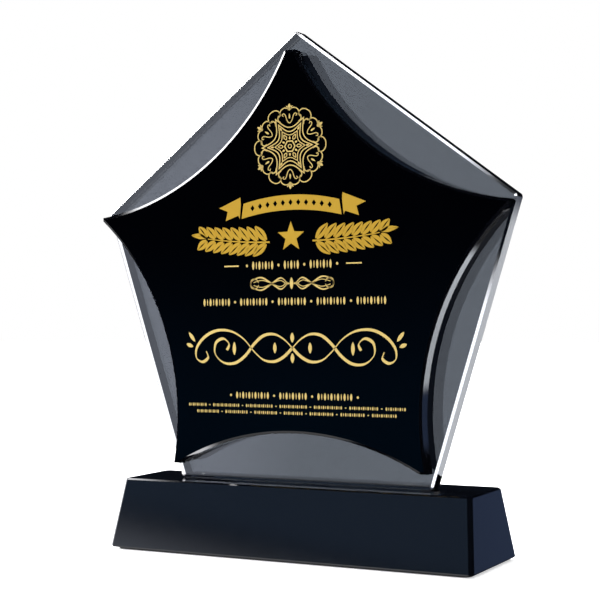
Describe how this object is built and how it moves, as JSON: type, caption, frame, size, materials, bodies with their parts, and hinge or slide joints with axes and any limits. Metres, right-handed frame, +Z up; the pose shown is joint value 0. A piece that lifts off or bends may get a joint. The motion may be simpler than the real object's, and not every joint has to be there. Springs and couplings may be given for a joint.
{
  "type": "crystal star trophy",
  "caption": "Desk award: a black crystal star with gold ornament, bonded to a clear pentagon slab that stands on a black tapered plinth.",
  "frame": {"origin": "middle of the surface that the trophy stands on, under its felt pad", "axes": "+Z up, +X to the viewer's right, +Y to the back; the gold ornament faces -Y"},
  "size_m": [0.1898, 0.0478, 0.2158],
  "materials": {
    "clear_crystal": "polished clear crystal with bevelled edges",
    "star_crystal": "polished opaque black crystal",
    "black_crystal": "polished opaque black crystal, faint blue cast",
    "adhesive": "clear cured film",
    "gold_print": "satin gold print with a fine grain",
    "felt": "short black felt"
  },
  "bodies": {
    "root": {"base_pad": "felt", "plinth": "black_crystal", "slab_bond": "adhesive", "crystal_slab": "clear_crystal", "star_bond": "adhesive", "star_plate": "star_crystal", "rosette_lobes": "gold_print", "rosette_finials": "gold_print", "rosette_star": "gold_print", "rosette_hub": "gold_print", "ribbon_band": "gold_print", "ribbon_tails": "gold_print", "laurel_sprigs": "gold_print", "laurel_star": "gold_print", "heading_row": "gold_print", "scroll": "gold_print", "upper_row": "gold_print", "flourish": "gold_print", "lower_row": "gold_print", "footer_rows": "gold_print"}
  },
  "joints": []
}
